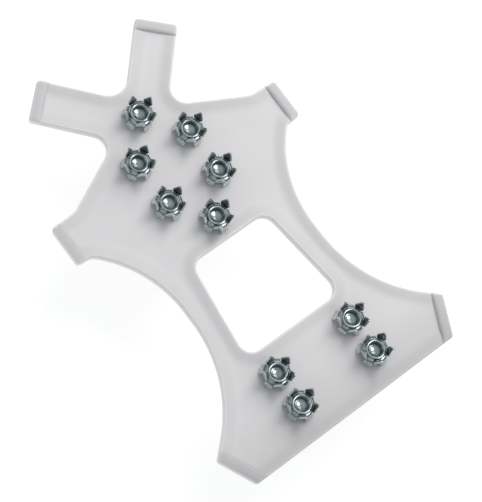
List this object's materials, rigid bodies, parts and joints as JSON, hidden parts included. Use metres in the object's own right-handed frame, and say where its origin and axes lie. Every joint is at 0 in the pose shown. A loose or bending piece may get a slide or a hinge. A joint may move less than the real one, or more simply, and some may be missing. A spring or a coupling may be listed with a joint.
{
  "type": "shoe ice cleat",
  "caption": "Stretch-on shoe ice cleat: a flat milky rubber web with arms that hook round the sole, an arch window, and riveted steel crowns with upright teeth.",
  "frame": {"origin": "middle of the flat cleat's box in plan, on its shoe-side face", "axes": "+Z out of the stud side, towards the ground in use; +Y towards the toe; +X to the right when the studs face the viewer and the toe points up"},
  "size_m": [0.111, 0.1722, 0.0124],
  "materials": {
    "web_rubber": "milky, slightly translucent moulded elastomer with a smooth satin surface",
    "crown_steel": "bright zinc-plated stamped steel with faint scuffing",
    "rivet_steel": "polished plated steel",
    "washer_steel": "plain plated steel"
  },
  "bodies": {
    "web": {"web": "web_rubber", "crown_toe": "crown_steel", "crown_fore_left": "crown_steel", "crown_fore_right": "crown_steel", "crown_rear_left": "crown_steel", "crown_rear_right": "crown_steel", "crown_arch": "crown_steel", "crown_heel_front_left": "crown_steel", "crown_heel_front_right": "crown_steel", "crown_heel_back_left": "crown_steel", "crown_heel_back_right": "crown_steel", "rivet_toe": "rivet_steel", "rivet_fore_left": "rivet_steel", "rivet_fore_right": "rivet_steel", "rivet_rear_left": "rivet_steel", "rivet_rear_right": "rivet_steel", "rivet_arch": "rivet_steel", "rivet_heel_front_left": "rivet_steel", "rivet_heel_front_right": "rivet_steel", "rivet_heel_back_left": "rivet_steel", "rivet_heel_back_right": "rivet_steel", "washer_toe": "washer_steel", "washer_fore_left": "washer_steel", "washer_fore_right": "washer_steel", "washer_rear_left": "washer_steel", "washer_rear_right": "washer_steel", "washer_arch": "washer_steel", "washer_heel_front_left": "washer_steel", "washer_heel_front_right": "washer_steel", "washer_heel_back_left": "washer_steel", "washer_heel_back_right": "washer_steel"},
    "toe_strap_left": {"toe_strap_left": "web_rubber"},
    "toe_strap_right": {"toe_strap_right": "web_rubber"},
    "forefoot_wing_left": {"forefoot_wing_left": "web_rubber"},
    "forefoot_wing_right": {"forefoot_wing_right": "web_rubber"},
    "heel_wing_left": {"heel_wing_left": "web_rubber"},
    "heel_wing_right": {"heel_wing_right": "web_rubber"}
  },
  "joints": [
    {"name": "toe_strap_left_fold", "type": "hinge", "parent": "web", "child": "toe_strap_left", "pos_m": [-0.01265, 0.06268, 0], "axis": [-0.7314, -0.682, 0], "range_deg": [0, 110], "stiffness_Nm_per_rad": 0.01},
    {"name": "toe_strap_right_fold", "type": "hinge", "parent": "web", "child": "toe_strap_right", "pos_m": [0.01265, 0.06268, 0], "axis": [-0.7314, 0.682, 0], "range_deg": [0, 110], "stiffness_Nm_per_rad": 0.01},
    {"name": "forefoot_wing_left_fold", "type": "hinge", "parent": "web", "child": "forefoot_wing_left", "pos_m": [-0.0395, 0.02716, 0], "axis": [0, -1, 0], "range_deg": [0, 100], "stiffness_Nm_per_rad": 0.012},
    {"name": "forefoot_wing_right_fold", "type": "hinge", "parent": "web", "child": "forefoot_wing_right", "pos_m": [0.0395, 0.02716, 0], "axis": [0, 1, 0], "range_deg": [0, 100], "stiffness_Nm_per_rad": 0.012},
    {"name": "heel_wing_left_fold", "type": "hinge", "parent": "web", "child": "heel_wing_left", "pos_m": [-0.03903, -0.07221, 0], "axis": [0.4261, -0.9047, 0], "range_deg": [0, 100], "stiffness_Nm_per_rad": 0.012},
    {"name": "heel_wing_right_fold", "type": "hinge", "parent": "web", "child": "heel_wing_right", "pos_m": [0.03903, -0.07221, 0], "axis": [0.4261, 0.9047, 0], "range_deg": [0, 100], "stiffness_Nm_per_rad": 0.012}
  ]
}
